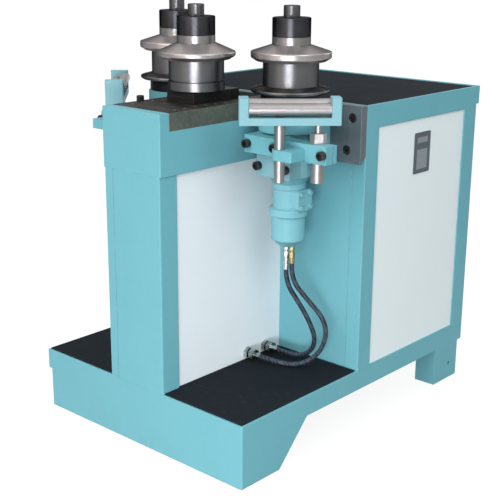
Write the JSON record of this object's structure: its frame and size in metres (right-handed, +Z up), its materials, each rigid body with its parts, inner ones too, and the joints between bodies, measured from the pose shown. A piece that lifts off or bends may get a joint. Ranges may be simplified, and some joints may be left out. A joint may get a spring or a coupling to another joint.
{
  "type": "hydraulic profile bender",
  "caption": "Floor-standing hydraulic profile bender with upright flanged rolls, lateral guide units on posts, hoses and a hydraulic cabinet behind the neck.",
  "frame": {"origin": "centre of the bounding box on the floor", "axes": "+Z up, -Y towards the operator at the neck's front post, +X to the operator's right"},
  "size_m": [0.8894, 1.096, 1.217],
  "materials": {
    "paint": "satin",
    "panel_white": "satin",
    "dark_steel": "satin",
    "black_steel": "satin",
    "roll_steel": "gloss",
    "shaft_steel": "satin",
    "screw_steel": "satin",
    "nut_steel": "satin",
    "mat_rubber": "matte",
    "hose_rubber": "satin",
    "fitting_brass": "satin",
    "motor_paint": "satin",
    "plate_grey": "satin",
    "machined_steel": "satin",
    "cast_grey": "satin"
  },
  "bodies": {
    "frame": {"base_frame": "paint", "deck_mats": "mat_rubber", "neck_post": "paint", "neck_head": "paint", "neck_panel_left": "panel_white", "neck_panel_right": "panel_white", "top_slab": "dark_steel", "slab_screws": "screw_steel", "gib_screws": "nut_steel", "cross_plate": "dark_steel", "plate_screws": "screw_steel", "cabinet_body": "paint", "cabinet_panels": "panel_white", "rear_panel": "paint", "top_mat": "mat_rubber", "nameplate": "plate_grey", "side_housing_right": "paint", "side_housing_left": "paint", "housing_cap_right": "paint", "housing_cap_left": "paint", "side_bearings": "machined_steel", "side_covers": "black_steel", "side_motor_right": "motor_paint", "side_motor_left": "motor_paint", "motor_fittings": "fitting_brass", "bulkhead_fittings": "nut_steel", "hose_a": "hose_rubber", "hose_b": "hose_rubber", "guide_arm_right": "paint", "guide_arm_left": "paint", "arm_screws": "screw_steel", "guide_nuts": "nut_steel", "guide_bushes": "shaft_steel", "press_cylinder": "cast_grey", "oil_tank": "paint", "electric_motor": "cast_grey", "hydraulic_pump": "cast_grey", "valve_block": "machined_steel"},
    "press_carriage": {"press_slide": "machined_steel", "press_bearings": "machined_steel", "press_motor": "motor_paint", "press_piston": "shaft_steel"},
    "press_roll_unit": {"press_shaft": "shaft_steel", "press_roll": "roll_steel", "press_collar": "black_steel"},
    "right_roll_unit": {"right_shaft": "shaft_steel", "right_roll": "roll_steel", "right_collar": "black_steel"},
    "left_roll_unit": {"left_shaft": "shaft_steel", "left_roll": "roll_steel", "left_collar": "black_steel"},
    "right_guide": {"guide_bracket_right": "paint", "guide_posts_right": "shaft_steel"},
    "left_guide": {"guide_bracket_left": "paint", "guide_posts_left": "shaft_steel"},
    "right_rear_roller": {"rear_guide_roller_right": "shaft_steel"},
    "left_rear_roller": {"rear_guide_roller_left": "shaft_steel"},
    "right_front_roller": {"front_guide_roller_right": "shaft_steel"},
    "left_front_roller": {"front_guide_roller_left": "shaft_steel"}
  },
  "joints": [
    {"name": "press_feed", "type": "slide", "parent": "frame", "child": "press_carriage", "axis": [0, 1, 0], "range_m": [-0.01, 0.1]},
    {"name": "press_roll_spin", "type": "hinge", "parent": "press_carriage", "child": "press_roll_unit", "pos_m": [0, -0.3, 1], "axis": [0, 0, 1], "continuous": true},
    {"name": "right_roll_spin", "type": "hinge", "parent": "frame", "child": "right_roll_unit", "pos_m": [0.22, -0.158, 1], "axis": [0, 0, 1], "continuous": true},
    {"name": "left_roll_spin", "type": "hinge", "parent": "frame", "child": "left_roll_unit", "pos_m": [-0.22, -0.158, 1], "axis": [0, 0, 1], "continuous": true},
    {"name": "right_guide_lift", "type": "slide", "parent": "frame", "child": "right_guide", "axis": [0, 0, 1], "range_m": [-0.02, 0.04]},
    {"name": "right_rear_roller_spin", "type": "hinge", "parent": "right_guide", "child": "right_rear_roller", "pos_m": [0.32197, -0.28507, 0.977], "axis": [0.7071, 0.7071, 0], "continuous": true},
    {"name": "right_front_roller_spin", "type": "hinge", "parent": "right_guide", "child": "right_front_roller", "pos_m": [0.34177, -0.30487, 0.967], "axis": [0.7071, 0.7071, 0], "continuous": true},
    {"name": "left_guide_lift", "type": "slide", "parent": "frame", "child": "left_guide", "axis": [0, 0, 1], "range_m": [-0.02, 0.04]},
    {"name": "left_rear_roller_spin", "type": "hinge", "parent": "left_guide", "child": "left_rear_roller", "pos_m": [-0.32197, -0.28507, 0.977], "axis": [0.7071, -0.7071, 0], "continuous": true},
    {"name": "left_front_roller_spin", "type": "hinge", "parent": "left_guide", "child": "left_front_roller", "pos_m": [-0.34177, -0.30487, 0.967], "axis": [0.7071, -0.7071, 0], "continuous": true}
  ],
  "couplings": [
    {"joint": "left_roll_spin", "follows": "right_roll_spin", "ratio": 1},
    {"joint": "press_roll_spin", "follows": "right_roll_spin", "ratio": -1}
  ]
}
